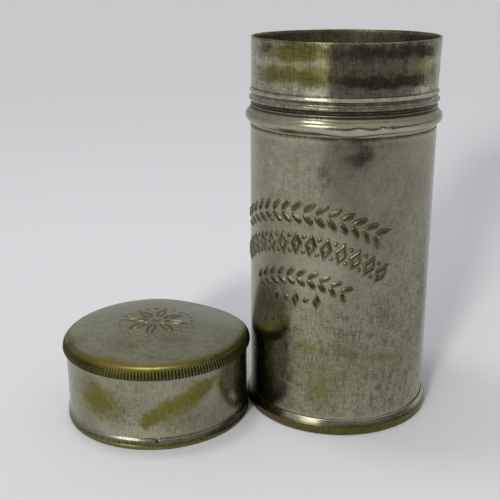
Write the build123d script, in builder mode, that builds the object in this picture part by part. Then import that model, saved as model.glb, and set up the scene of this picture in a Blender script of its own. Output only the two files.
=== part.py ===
"""Shaving-stick tin of nickel-plated brass: a tall tube with a soap stick inside, and its slip-on cap
standing beside it.  The origin is the centre of the tube's base, on the table, with +Z up the tube."""
from build123d import *
import math
import os

os.makedirs("parts", exist_ok=True)

# ---- tube, mm ----
sheet = 0.4            # thickness of the body and sleeve sheet
body_r = 18.0          # outside of the body
neck_r = 17.85         # outside of the plain part of the neck sleeve
tube_h = 74.9          # table to the sleeve's rim
roll_r = 18.95         # crest of the big rolled bead
roll_z = 60.2          # height of its crest
roll_section = 1.25    # radius of its section
roll_cove = 0.8        # radius of the hollow above and below it
collar_z = 62.4        # top edge of the body sheet, where it hugs the sleeve
stop_bead = (64.9, 0.45, 0.32)    # height, half width and rise of the upper small bead
lower_bead = (63.45, 0.7, 0.45)   # the same for the lower small bead
sleeve_foot_z = 53.5   # lower edge of the sleeve, inside the body
step_r = 17.58         # outside of the sleeve where it is inside the body
foot_r = 18.8          # outside of the base's brass rim
rim_band_z = 1.7       # top of that rim's upright band
crimp_z = 3.1          # where its crimped edge meets the body
flare_top_z = 2.75     # where the body starts to flare
flare_low_z = 1.55     # where it is fully flared
floor_z = 0.5          # inside face of the base
flare_r = 18.38        # outside of the body's flared foot, inside the rim
slip = 0.02            # gap between sheets that are crimped or soldered together

# ---- cap, mm ----
cap_x = -37.19
cap_y = -5.93
cap_h = 18.9           # table to the top of the dome
cap_sheet = 0.37
skirt_r = 18.3         # outside of the skirt
lip_r = 18.7           # crest of the rolled lip
crown_r = 19.0         # outside of the crown, over its ribs
crown_z = 14.7         # underside of the crown's edge
crown_round = 2.0      # rounding of the crown's edge
crown_round_z = 14.95  # height of that rounding's centre
flange_r = 18.5        # outside of the skirt's flange, which the crown is crimped over
rib_count = 186
rib_depth = 0.12
rib_root = 0.08        # how deep the ribs are bedded in the edge
rib_low_z = 14.8
rib_high_z = 16.4

# ---- soap stick, mm ----
stick_r = 15.85        # 1 1/4 in across
stick_foot_z = 0.72
stick_shoulder_z = 59.5
stick_top_z = 63.0     # top of the worn dome
stick_flat_r = 4.0     # nearly flat middle of the dome
foil = 0.14            # foil with its folds
foil_foot_z = 0.55
foil_top_z = 41.0

# ---- ornament, mm and degrees: raised on the body's wall, stamped into the cap's dome ----
raised_height = 0.3
raised_root = 0.15     # how far the raised shapes reach down into the wall
stamp_depth = 0.15
ornament_azimuth = -121.0   # middle of the ornament round the body
laurel_arch = (44.4, 29.6)      # height of an arch's crown, and its radius
lozenge_arch = (38.4, 26.4)
sprig_arch = (31.9, 19.0)
last_row_z = 27.4
laurel_leaf = (1.25, 0.45)      # half length and half width
sprig_leaf = (1.05, 0.4)
lozenge_half = (1.15, 2.1)      # half width and half height
lozenge_hole = (0.5, 0.95)      # the same for the island left in its middle
end_lozenge_half = (0.7, 1.4)
body_dot = 0.32
last_dot = 0.45
cap_turn = -98.0            # direction of the rosette's first petal
petal = (2.3, 0.95)
petal_hole = (1.45, 0.42)
petal_ring = 4.0            # radius that the petals' middles stand on
cap_dot = 0.36
cap_dot_ring = 7.3
rosette_eye = 0.9


def bead(wall_x, height, half, rise):
    """One small pressed bead in the wall at wall_x, drawn upwards."""
    ThreePointArc((wall_x, height - half), (wall_x + rise, height), (wall_x, height + half))


def rolled_bead(wall_x, section, cove):
    """One face of the big rolled bead, drawn upwards: a hollow, the round crest and a hollow."""
    crest_x = roll_r - roll_section
    cove_x = wall_x + cove
    rise = math.sqrt((section + cove) ** 2 - (cove_x - crest_x) ** 2)
    lean = math.atan2(rise, cove_x - crest_x)
    touch_x = crest_x + section * math.cos(lean)
    touch_dz = section * math.sin(lean)
    bow_x = cove_x - cove * math.cos(lean / 2)
    bow_dz = rise - cove * math.sin(lean / 2)
    ThreePointArc((wall_x, roll_z - rise), (bow_x, roll_z - bow_dz), (touch_x, roll_z - touch_dz))
    ThreePointArc((touch_x, roll_z - touch_dz), (crest_x + section, roll_z), (touch_x, roll_z + touch_dz))
    ThreePointArc((touch_x, roll_z + touch_dz), (bow_x, roll_z + bow_dz), (wall_x, roll_z + rise))
    return rise


def on_body(across, height, turn=0.0):
    """Plane just inside the body's wall, across mm round from the ornament's middle, turned in its face."""
    azimuth = math.radians(ornament_azimuth) + across / body_r
    out = Vector(math.cos(azimuth), math.sin(azimuth), 0)
    round_dir = Vector(-math.sin(azimuth), math.cos(azimuth), 0)
    along = round_dir * math.cos(math.radians(turn)) + Vector(0, 0, 1) * math.sin(math.radians(turn))
    return Plane(origin=out * (body_r - raised_root) + Vector(0, 0, height), x_dir=along, z_dir=out)


def on_arch(arch, along, lift=0.0, turn=0.0):
    """Plane just inside the body's wall, along mm from the middle of an arch and lift mm above its line."""
    top, radius = arch
    angle = along / radius
    reach = radius + lift
    height = top - radius + reach * math.cos(angle)
    return on_body(reach * math.sin(angle), height, turn - math.degrees(angle))


def spaced(count, pitch):
    """Places of count things, pitch apart and centred on nought."""
    return [(i - (count - 1) / 2) * pitch for i in range(count)]


def lozenge(half_width, half_height, mode=Mode.ADD):
    """A lozenge on its point, in the current sketch."""
    Polygon((-half_width, 0), (0, -half_height), (half_width, 0), (0, half_height), mode=mode)


# ---- body: rolled bead at the top, flared foot, raised garlands on the front ----
with BuildPart() as body_shell:
    with BuildSketch(Plane.XZ):
        with BuildLine():
            inner_wall = body_r - sheet
            outer_rise = rolled_bead(body_r, roll_section, roll_cove)
            rolled_bead(inner_wall, roll_section - sheet, roll_cove + sheet)
            Polyline((body_r, roll_z + outer_rise), (body_r, collar_z), (inner_wall, collar_z),
                     (inner_wall, roll_z + outer_rise))
            Polyline((body_r, roll_z - outer_rise), (body_r, flare_top_z), (flare_r, flare_low_z),
                     (flare_r, floor_z + slip), (flare_r - sheet, floor_z + slip),
                     (flare_r - sheet, flare_low_z - 0.05), (inner_wall, flare_top_z - 0.05),
                     (inner_wall, roll_z - outer_rise))
        make_face()
    revolve(axis=Axis.Z)
    sides = (-1, 1)
    laurel = [on_arch(laurel_arch, s, side * 1.15, side * 40) for s in spaced(15, 2.35) for side in sides]
    with BuildSketch(*laurel):
        Ellipse(*laurel_leaf)
    sprig = [on_arch(sprig_arch, s, side * 0.9, side * 38) for s in spaced(10, 2.2) for side in sides]
    with BuildSketch(*sprig):
        Ellipse(*sprig_leaf)
    with BuildSketch(*[on_arch(lozenge_arch, s) for s in spaced(13, 2.9)]):
        lozenge(*lozenge_half)
        lozenge(*lozenge_hole, mode=Mode.SUBTRACT)
    dots = [on_arch(lozenge_arch, s, side * 1.45) for s in spaced(12, 2.9) for side in sides]
    with BuildSketch(*dots):
        Circle(body_dot)
    with BuildSketch(*[on_body(s, last_row_z) for s in spaced(3, 4.2)]):
        lozenge(*end_lozenge_half)
    with BuildSketch(*[on_body(s, last_row_z) for s in spaced(2, 4.2)]):
        Circle(last_dot)
    extrude(amount=raised_root + raised_height)
body_shell.part.label = "body_shell"
export_step(body_shell.part, "parts/body_shell.step")

# ---- neck sleeve: two small beads, a step where it enters the body, and a foot inside ----
with BuildPart() as neck_sleeve:
    with BuildSketch(Plane.XZ):
        with BuildLine():
            bead(neck_r, *lower_bead)
            bead(neck_r, *stop_bead)
            neck_in = neck_r - sheet
            bead(neck_in, lower_bead[0], lower_bead[1] * 0.7, lower_bead[2])
            bead(neck_in, stop_bead[0], stop_bead[1] * 0.7, stop_bead[2])
            Line((neck_r, lower_bead[0] + lower_bead[1]), (neck_r, stop_bead[0] - stop_bead[1]))
            Line((neck_in, lower_bead[0] + lower_bead[1] * 0.7), (neck_in, stop_bead[0] - stop_bead[1] * 0.7))
            Polyline((neck_r, stop_bead[0] + stop_bead[1]), (neck_r, tube_h - 0.1),
                     (neck_r - 0.1, tube_h), (neck_in + 0.1, tube_h), (neck_in, tube_h - 0.1),
                     (neck_in, stop_bead[0] + stop_bead[1] * 0.7))
            Polyline((neck_r, lower_bead[0] - lower_bead[1]), (neck_r, collar_z + slip),
                     (step_r, collar_z + slip), (step_r, sleeve_foot_z),
                     (step_r - sheet, sleeve_foot_z), (step_r - sheet, collar_z + 0.1),
                     (neck_in, collar_z + sheet), (neck_in, lower_bead[0] - lower_bead[1] * 0.7))
        make_face()
    revolve(axis=Axis.Z)
neck_sleeve.part.label = "neck_sleeve"
export_step(neck_sleeve.part, "parts/neck_sleeve.step")

# ---- base: flat floor, with its edge folded up and crimped over the body's flared foot ----
with BuildPart() as base_disc:
    with BuildSketch(Plane.XZ):
        with BuildLine():
            corner = 0.45
            Polyline((foot_r - corner, 0), (16.8, 0), (16.5, 0.2), (16.2, 0), (0, 0), (0, floor_z),
                     (flare_r + slip, floor_z), (flare_r + slip, flare_low_z + slip),
                     (body_r + slip, flare_top_z + slip),
                     (body_r + slip, crimp_z), (body_r + 0.12, crimp_z), (foot_r, rim_band_z),
                     (foot_r, corner))
            RadiusArc((foot_r, corner), (foot_r - corner, 0), corner)
        make_face()
    revolve(axis=Axis.Z)
base_disc.part.label = "base_disc"
export_step(base_disc.part, "parts/base_disc.step")

# ---- solder: a fillet in the corner of the base, and one under the sleeve's foot ----
with BuildPart() as base_solder:
    with BuildSketch(Plane.XZ):
        with BuildLine():
            seam_r = flare_r - sheet - slip
            Polyline((seam_r, floor_z + slip), (seam_r, 1.4), (17.62, 2.2), (17.0, 0.9),
                     (16.6, floor_z + slip), close=True)
        make_face()
    revolve(axis=Axis.Z)
base_solder.part.label = "base_solder"
export_step(base_solder.part, "parts/base_solder.step")

with BuildPart() as neck_solder:
    with BuildSketch(Plane.XZ):
        with BuildLine():
            seam_z = sleeve_foot_z - slip
            Polyline((step_r, seam_z), (step_r, seam_z - 0.6), (step_r - sheet, seam_z), close=True)
        make_face()
    revolve(axis=Axis.Z)
neck_solder.part.label = "neck_solder"
export_step(neck_solder.part, "parts/neck_solder.step")

# ---- cap: everything is turned about its own upright axis ----
cap_plane = Plane(origin=(cap_x, cap_y, 0), x_dir=(1, 0, 0), z_dir=(0, -1, 0))
cap_axis = Axis((cap_x, cap_y, 0), (0, 0, 1))
round_x = crown_r - crown_round
ball_gap = cap_h - crown_round
dome_z = (ball_gap ** 2 - crown_round_z ** 2 - round_x ** 2) / (2 * (ball_gap - crown_round_z))
dome_r = cap_h - dome_z
dome_lean = math.asin(round_x / (dome_r - crown_round))


def dome_arcs(inset, low_angle):
    """The dome and its rounded edge, inset from the outside, from the axis out to low_angle on the edge."""
    ball = dome_r - inset
    edge = crown_round - inset
    joint = (ball * math.sin(dome_lean), dome_z + ball * math.cos(dome_lean))
    half = dome_lean / 2
    ThreePointArc((0, dome_z + ball), (ball * math.sin(half), dome_z + ball * math.cos(half)), joint)
    middle = (math.pi / 2 - dome_lean + low_angle) / 2
    end = (round_x + edge * math.cos(low_angle), crown_round_z + edge * math.sin(low_angle))
    ThreePointArc(joint, (round_x + edge * math.cos(middle), crown_round_z + edge * math.sin(middle)), end)
    return end


def on_dome(radius, angle):
    """Plane on the dome, radius mm from its middle, with X pointing outwards."""
    lean = math.asin(radius / dome_r)
    away = Vector(math.cos(math.radians(angle)), math.sin(math.radians(angle)), 0)
    normal = away * math.sin(lean) + Vector(0, 0, 1) * math.cos(lean)
    along = away * math.cos(lean) - Vector(0, 0, 1) * math.sin(lean)
    spot = Vector(cap_x, cap_y, dome_z + dome_r * math.cos(lean)) + away * radius
    return Plane(origin=spot, x_dir=along, z_dir=normal)


# ---- cap skirt: rolled lip at the mouth, flange at the top ----
with BuildPart() as cap_skirt:
    with BuildSketch(cap_plane):
        with BuildLine():
            skirt_in = skirt_r - cap_sheet
            band_r = lip_r - 0.08
            Polyline((skirt_in + 0.1, 0), (skirt_in, 0.1), (skirt_in, crown_z + cap_sheet * 2 + 0.03),
                     (flange_r, crown_z + cap_sheet * 2 + 0.03), (flange_r, crown_z + cap_sheet + 0.03),
                     (skirt_r, crown_z + cap_sheet + 0.03), (skirt_r, 2.5), (band_r, 1.9), (band_r, 1.15),
                     (band_r - 0.15, 1.0))
            ThreePointArc((band_r - 0.15, 1.0), (lip_r, 0.5), (lip_r - 0.22, 0))
            Line((lip_r - 0.22, 0), (skirt_in + 0.1, 0))
        make_face()
    revolve(axis=cap_axis)
cap_skirt.part.label = "cap_skirt"
export_step(cap_skirt.part, "parts/cap_skirt.step")

# ---- cap crown: dome, milled edge crimped under the skirt's flange, stamped rosette ----
with BuildPart() as cap_crown:
    with BuildSketch(cap_plane):
        with BuildLine():
            root_r = crown_r - rib_depth
            top_angle = math.asin((rib_high_z - crown_round_z) / crown_round)
            edge = dome_arcs(0, top_angle)
            inner = dome_arcs(cap_sheet, math.radians(6))
            Polyline(edge, (edge[0] - rib_depth, rib_high_z), (root_r, rib_low_z), (root_r, crown_z),
                     (skirt_r + slip, crown_z), (skirt_r + slip, crown_z + cap_sheet),
                     (inner[0], crown_z + cap_sheet), inner)
            Line((0, cap_h - cap_sheet), (0, cap_h))
        make_face()
    revolve(axis=cap_axis)
    tooth = 360 / rib_count
    for height, reach in ((rib_low_z, crown_r), (rib_high_z, edge[0])):
        ring = []
        for i in range(rib_count):
            for step, depth in ((0, 0), (0.5, rib_depth)):
                turn = math.radians((i + step) * tooth)
                ring.append(((reach - depth) * math.cos(turn), (reach - depth) * math.sin(turn)))
        with BuildSketch(Plane(origin=(cap_x, cap_y, height))):
            Polygon(*ring, align=None)
            Circle(reach - rib_depth - rib_root, mode=Mode.SUBTRACT)
    loft(ruled=True)
    petals = [on_dome(petal_ring, cap_turn + i * 45) for i in range(8)]
    dots = [on_dome(cap_dot_ring, cap_turn + i * 15) for i in range(24)]
    with BuildSketch(*petals):
        Ellipse(*petal)
        Ellipse(*petal_hole, mode=Mode.SUBTRACT)
    with BuildSketch(*dots):
        Circle(cap_dot)
    with BuildSketch(on_dome(0, 0)):
        Circle(rosette_eye)
    extrude(amount=-stamp_depth, mode=Mode.SUBTRACT)
cap_crown.part.label = "cap_crown"
export_step(cap_crown.part, "parts/cap_crown.step")

# ---- soap stick: plain cylinder, worn to a dome at the top ----
with BuildPart() as shaving_stick:
    with BuildSketch(Plane.XZ):
        with BuildLine():
            shoulder = (stick_r - 1.7, stick_shoulder_z + 1.6)
            TangentArc((stick_r, stick_shoulder_z), shoulder, tangent=(0, 1))
            ThreePointArc(shoulder, (stick_r * 0.6, stick_top_z - 0.5), (stick_flat_r, stick_top_z))
            Polyline((stick_flat_r, stick_top_z), (0, stick_top_z), (0, stick_foot_z),
                     (stick_r - 0.4, stick_foot_z), (stick_r, stick_foot_z + 0.4),
                     (stick_r, stick_shoulder_z))
        make_face()
    revolve(axis=Axis.Z)
shaving_stick.part.label = "shaving_stick"
export_step(shaving_stick.part, "parts/shaving_stick.step")

# ---- foil: a thin cup round the lower part of the stick ----
with BuildPart() as stick_foil:
    with BuildSketch(Plane.XZ):
        with BuildLine():
            foil_in = stick_r + slip
            Polyline((0, foil_foot_z), (foil_in - 0.4, foil_foot_z), (foil_in + foil, foil_foot_z + 0.45),
                     (foil_in + foil, foil_top_z), (foil_in, foil_top_z), (foil_in, stick_foot_z + 0.39),
                     (foil_in - 0.41, stick_foot_z - slip), (0, stick_foot_z - slip), close=True)
        make_face()
    revolve(axis=Axis.Z)
stick_foil.part.label = "stick_foil"
export_step(stick_foil.part, "parts/stick_foil.step")
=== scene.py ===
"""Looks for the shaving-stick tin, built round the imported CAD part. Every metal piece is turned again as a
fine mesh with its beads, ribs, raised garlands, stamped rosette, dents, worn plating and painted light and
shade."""
import math

import bpy
import numpy as np
from mathutils import Matrix, Vector


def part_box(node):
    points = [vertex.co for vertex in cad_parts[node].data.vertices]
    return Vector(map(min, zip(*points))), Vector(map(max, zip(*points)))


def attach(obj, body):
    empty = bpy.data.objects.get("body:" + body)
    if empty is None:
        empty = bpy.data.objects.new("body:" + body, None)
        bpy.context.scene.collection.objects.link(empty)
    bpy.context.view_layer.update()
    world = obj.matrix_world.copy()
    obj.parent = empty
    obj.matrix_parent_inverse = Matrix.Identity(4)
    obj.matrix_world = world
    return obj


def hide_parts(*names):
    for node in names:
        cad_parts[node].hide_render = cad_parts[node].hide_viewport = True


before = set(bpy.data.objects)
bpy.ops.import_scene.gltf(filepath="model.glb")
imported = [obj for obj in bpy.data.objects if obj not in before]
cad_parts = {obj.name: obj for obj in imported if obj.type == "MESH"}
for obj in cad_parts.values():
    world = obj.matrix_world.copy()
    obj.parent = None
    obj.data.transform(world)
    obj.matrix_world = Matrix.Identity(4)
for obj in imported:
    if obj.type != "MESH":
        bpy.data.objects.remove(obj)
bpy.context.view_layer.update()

# ---- places and sizes, mm unless said otherwise ----
MM = 1000.0
SHEET = 0.4
BODY_R = 18.0
NECK_R = 17.85
ROLL_R = 18.95
ROLL_Z = 60.2
ROLL_SECTION = 1.25
ROLL_COVE = 0.8
COLLAR_Z = 62.4
# the neck's two small beads: height and rise
LOWER_BEAD = (63.45, 0.45)
STOP_BEAD = (64.9, 0.32)
STEP_R = 17.58
FOOT_R = 18.8
FLARE_R = 18.38
FLARE_TOP_Z = 3.0
FLOOR_TOP_Z = 0.5
# the part of the body's wall that has the ornament on it
ORNAMENT_Z = (25.4, 46.9)
ORNAMENT_AZIMUTH = -121.0
RAISED_HEIGHT = 0.3
STAMP_DEPTH = 0.15
# a distance from the ornament at which it leaves no mark
WELL_CLEAR = 9.0
CAP_SHEET = 0.37
CAP_TURN = -98.0
SKIRT_R = 18.3
LIP_R = 18.7
CROWN_R = 19.0
CROWN_Z = 14.7
CROWN_ROUND = 2.0
CROWN_ROUND_Z = 14.95
FLANGE_R = 18.5
RIBS = 186
RIB_DEPTH = 0.12
RIB_HIGH_Z = 16.4
ROSETTE_R = 8.4
STICK_R = 15.85
STICK_SHOULDER_Z = 59.3
# foil: gap to the stick, thickness of its wall, height of its floor and of its torn edge
FOIL_GAP = 0.03
FOIL_SHEET = 0.06
FOIL_FLOOR_Z = 0.56
FOIL_TOP_Z = 41.0

tube_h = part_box("neck_sleeve")[1].z * MM
sleeve_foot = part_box("neck_sleeve")[0].z * MM
crown_low, crown_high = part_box("cap_crown")
cap_centre = ((crown_low.x + crown_high.x) / 2 * MM, (crown_low.y + crown_high.y) / 2 * MM)
cap_h = crown_high.z * MM
stick_low, stick_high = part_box("shaving_stick")


# ---- numbers ----
def smooth(low, high, value):
    """0 at low, 1 at high, with a soft step between them. low may be the greater of the two."""
    t = np.clip((value - low) / (high - low), 0.0, 1.0)
    return t * t * (3.0 - 2.0 * t)


def turn_from(azimuth, centre):
    """Signed turn in degrees from centre to azimuth, both in degrees."""
    return (azimuth - centre + 180.0) % 360.0 - 180.0


def spot(azimuth, z, centre, half, height, half_height, power=4):
    """A soft-edged patch on a wall, 1 in its middle and 0 away from it. On the crown z may be the radius."""
    across = np.abs(turn_from(azimuth, centre)) / half
    up = np.abs(z - height) / half_height
    return np.exp(-(across**power) - up**power)


def patches(azimuth, z, *rows):
    """A sum of patches. A row is a share, and then centre, half, height, half_height and power as in spot."""
    return sum(share * spot(azimuth, z, *where) for share, *where in rows)


def ragged_edges(azimuth, z, size=1.0):
    """The same places pushed about, so that patches drawn from them have uneven outlines."""
    t = np.radians(azimuth)
    push = np.sin(z * 1.9 + 9 * t) + 0.7 * np.sin(z * 3.7 - 23 * t + 1) + 0.5 * np.sin(z * 7.1 + 41 * t + 2)
    lift = np.sin(11 * t + z * 0.8) + 0.7 * np.sin(27 * t - z * 1.7 + 2) + 0.5 * np.sin(53 * t + z * 2.9 + 4)
    return azimuth + size * 1.7 * push, z + size * 0.42 * lift


def crease(z, height, half):
    """A level line round a wall, 1 at height and 0 away from it."""
    return np.exp(-(((z - height) / half) ** 2))


def creases(z, *rows):
    """A sum of level lines. A row is a share, then height and half, as in crease."""
    return sum(share * crease(z, *where) for share, *where in rows)


def wobble(a, z, size):
    """Slight unevenness of thin sheet."""
    t = np.radians(a)
    return size * (np.sin(2 * t + 0.7) + 0.6 * np.sin(3 * t + z * 0.05) + 0.35 * np.sin(7 * t - z * 0.11)
                   + 0.3 * np.sin(5 * t + z * 0.23))


# ---- profiles: rows of radius, height and 1 outside or 0 inside ----
def line(points, step, outside):
    """Points along straight runs, at most step apart."""
    rows = []
    for (r0, z0), (r1, z1) in zip(points, points[1:]):
        count = max(1, math.ceil(math.hypot(r1 - r0, z1 - z0) / step))
        rows += [(r0 + (r1 - r0) * i / count, z0 + (z1 - z0) * i / count, outside) for i in range(count)]
    rows.append((*points[-1], outside))
    return rows


def arc(centre, radius, start, end, count, outside):
    """Points along a round run, from start to end in degrees."""
    angles = [math.radians(start + (end - start) * i / count) for i in range(count + 1)]
    return [(centre[0] + radius * math.cos(t), centre[1] + radius * math.sin(t), outside) for t in angles]


def bead(wall, place_and_rise, half, step, outside, direction=1):
    """A small pressed bead in a wall, with soft shoulders. direction is -1 for a profile that runs down."""
    height, rise = place_and_rise
    reach = 1.3
    count = math.ceil(2 * reach * half / step)
    rows = []
    for i in range(count + 1):
        t = direction * (2.0 * i / count - 1.0) * reach
        lift = rise * math.exp(-((abs(t) / 0.72) ** 2.6))
        rows.append((wall + lift, height + t * half, outside))
    return rows


def rolled(wall, section, cove, count, outside, direction=1):
    """The big rolled bead: a hollow, a round crest and a hollow. direction is as in bead."""
    crest = ROLL_R - ROLL_SECTION
    bow = wall + cove
    rise = math.sqrt((section + cove) ** 2 - (bow - crest) ** 2)
    lean = math.degrees(math.atan2(rise, bow - crest))
    low = arc((bow, ROLL_Z - rise), cove, 180, 180 - lean, count // 3, outside)
    ball = arc((crest, ROLL_Z), section, -lean, lean, count, outside)
    high = arc((bow, ROLL_Z + rise), cove, 180 + lean, 180, count // 3, outside)
    rows = low + ball[1:] + high[1:]
    return rows if direction > 0 else rows[::-1]


# ---- meshes ----
def even(count):
    """Azimuths in radians, count of them round the whole turn."""
    return np.arange(count) * 2 * math.pi / count - math.pi


def finer(low, high, fine, coarse):
    """Azimuths in radians, from -180 to 180 degrees, fine apart between low and high and coarse elsewhere."""
    inside = np.arange(low, high, fine)
    before = np.arange(-180, low, coarse)
    after = np.arange(inside[-1] + fine, 180, coarse)
    return np.radians(np.concatenate([before, inside, after]))


def bridge(lower, upper):
    """Faces between two rings. One may have a whole number of times the other's points, or be one point."""
    after_lower = np.roll(lower, -1)
    after_upper = np.roll(upper, -1)
    if len(lower) == 1:
        return [(lower[0], after_upper[i], upper[i]) for i in range(len(upper))]
    if len(upper) == 1:
        return [(lower[i], after_lower[i], upper[0]) for i in range(len(lower))]
    if len(lower) == len(upper):
        return np.stack([lower, after_lower, after_upper, upper], 1).tolist()
    if len(lower) < len(upper):
        k = len(upper) // len(lower)
        wrap = np.append(upper, upper[0]).tolist()
        return [[lower[i], after_lower[i], *wrap[k * i:k * i + k + 1][::-1]] for i in range(len(lower))]
    k = len(lower) // len(upper)
    wrap = np.append(lower, lower[0]).tolist()
    return [[*wrap[k * i:k * i + k + 1], after_upper[i], upper[i]] for i in range(len(upper))]


# Marks on each mesh: brass wear; dark, which is dirt and tarnish together with painted shade and painted dark
# reflections; the ornament's stamp; grime for mottling and crosshatch; and a highlight mark, which makes the
# metal less rough and is also a painted highlight in its colour.
MARKS = ("brass", "dark", "stamp", "grime", "polish_and_painted_highlight")
ON_AXIS = 1e-6


def turned(name, parts, shape, centre=(0.0, 0.0), closed=True):
    """A turned piece. parts are (profile rows, azimuths) in order round the section, and shape moves the
    points and gives the marks that the finish reads."""
    points, rings, start = [], [], 0
    for profile, turns in parts:
        for r, z, outside in np.array(profile):
            azimuths = turns if r > ON_AXIS else turns[:1]
            count = len(azimuths)
            points.append(np.stack([np.full(count, r), np.full(count, z), azimuths,
                                    np.full(count, outside)], 1))
            rings.append(np.arange(start, start + count))
            start += count
    r, z, a, outside = np.concatenate(points).T
    r, z, given = shape(r, z, np.degrees(a), outside)
    x = (centre[0] + r * np.cos(a)) / MM
    y = (centre[1] + r * np.sin(a)) / MM
    faces = []
    for lower, upper in zip(rings, rings[1:] + rings[:1] if closed else rings[1:]):
        faces += bridge(lower, upper)
    mesh = bpy.data.meshes.new(name)
    mesh.from_pydata(np.stack([x, y, z / MM], 1).tolist(), [], faces)
    for mark in MARKS:
        values = np.broadcast_to(given.get(mark, 0.0), r.shape)
        layer = mesh.attributes.new(mark, "FLOAT", "POINT")
        layer.data.foreach_set("value", np.clip(values, 0, 1).astype(np.float32))
    mesh.shade_smooth()
    mesh.update()
    piece = bpy.data.objects.new(name, mesh)
    bpy.context.scene.collection.objects.link(piece)
    return piece


def place(piece, body, slot, material, *nodes):
    """Give a piece its finish and say which body carries it and which CAD nodes it stands in for."""
    piece.data.materials.append(material)
    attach(piece, body)
    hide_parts(*nodes)


# ---- ornament: the CAD's own raised garlands and stamped rosette ----
# A shape is its kind, middle, turn in radians, half length and half width, and those of its hole if any.
def spaced(count, pitch):
    return [(i - (count - 1) / 2) * pitch for i in range(count)]


def on_arch(arch, along, lift=0.0, turn=0.0):
    """A place on an arch, given as the height of its top and its radius, and the turn of a shape there."""
    top, radius = arch
    angle = along / radius
    reach = radius + lift
    return (reach * math.sin(angle), top - radius + reach * math.cos(angle), math.radians(turn) - angle)


def ring_of(count, radius, *sizes):
    """Leaves all round the cap's middle, pointing outwards."""
    turns = [math.radians(CAP_TURN + 360 / count * i) for i in range(count)]
    return [("leaf", radius * math.cos(t), radius * math.sin(t), t, *sizes) for t in turns]


LAUREL, LOZENGES, SPRIG, LAST_ROW_Z = (44.4, 29.6), (38.4, 26.4), (31.9, 19.0), 27.4
SIDES = (-1, 1)
LOZENGE_PITCH, LAST_PITCH = 2.9, 4.2
garland = [("leaf", *on_arch(LAUREL, s, side * 1.15, side * 40), 1.25, 0.45)
           for s in spaced(15, 2.35) for side in SIDES]
garland += [("leaf", *on_arch(SPRIG, s, side * 0.9, side * 38), 1.05, 0.4)
            for s in spaced(10, 2.2) for side in SIDES]
garland += [("lozenge", *on_arch(LOZENGES, s), 1.15, 2.1, 0.5, 0.95) for s in spaced(13, LOZENGE_PITCH)]
garland += [("leaf", *on_arch(LOZENGES, s, side * 1.45), 0.32, 0.32)
            for s in spaced(12, LOZENGE_PITCH) for side in SIDES]
garland += [("lozenge", s, LAST_ROW_Z, 0.0, 0.7, 1.4) for s in spaced(3, LAST_PITCH)]
garland += [("leaf", s, LAST_ROW_Z, 0.0, 0.45, 0.45) for s in spaced(2, LAST_PITCH)]
rosette = ring_of(8, 4.0, 2.3, 0.95, 1.45, 0.42) + ring_of(24, 7.3, 0.36, 0.36)
rosette += [("leaf", 0.0, 0.0, 0.0, 0.9, 0.9)]


def from_edge(kind, u, v, a, b):
    """Distance from the edge of an ellipse or lozenge with half sizes a and b, less than nought inside."""
    if kind == "leaf":
        q = np.hypot(u / a, v / b) + 1e-6
        return (q - 1.0) * q / (np.hypot(u / a**2, v / b**2) + 1e-6)
    return (np.abs(u) / a + np.abs(v) / b - 1.0) / math.hypot(1 / a, 1 / b)


def distance_to(shapes, across, up):
    """Distance from the nearest shape's edge, less than nought inside it."""
    best = np.full(across.shape, WELL_CLEAR)
    for kind, x, y, turn, *sizes in shapes:
        near = np.hypot(across - x, up - y) < max(sizes) + 1.0
        dx, dy = across[near] - x, up[near] - y
        u = dx * math.cos(turn) + dy * math.sin(turn)
        v = dy * math.cos(turn) - dx * math.sin(turn)
        d = from_edge(kind, u, v, *sizes[:2])
        if len(sizes) > 2:
            d = np.maximum(d, -from_edge(kind, u, v, *sizes[2:]))
        best[near] = np.minimum(best[near], d)
    return best


def stamped(d):
    """Depth, stamp mark and rim at a distance from a punch's edge: a rounded floor and a raised lip."""
    depth = STAMP_DEPTH * (1.0 - smooth(-0.22, 0.06, d)) - 0.035 * crease(d, 0.16, 0.11)
    return depth, 1.0 - smooth(-0.12, 0.08, d), crease(d, -0.02, 0.1)


def raised(d):
    """Height, stamp mark and rim at a distance from a raised shape's edge: a round ridge with a soft foot."""
    height = RAISED_HEIGHT * smooth(0.16, -0.34, d) ** 0.8
    return height, smooth(0.02, -0.14, d), crease(d, 0.1, 0.1)


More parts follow.
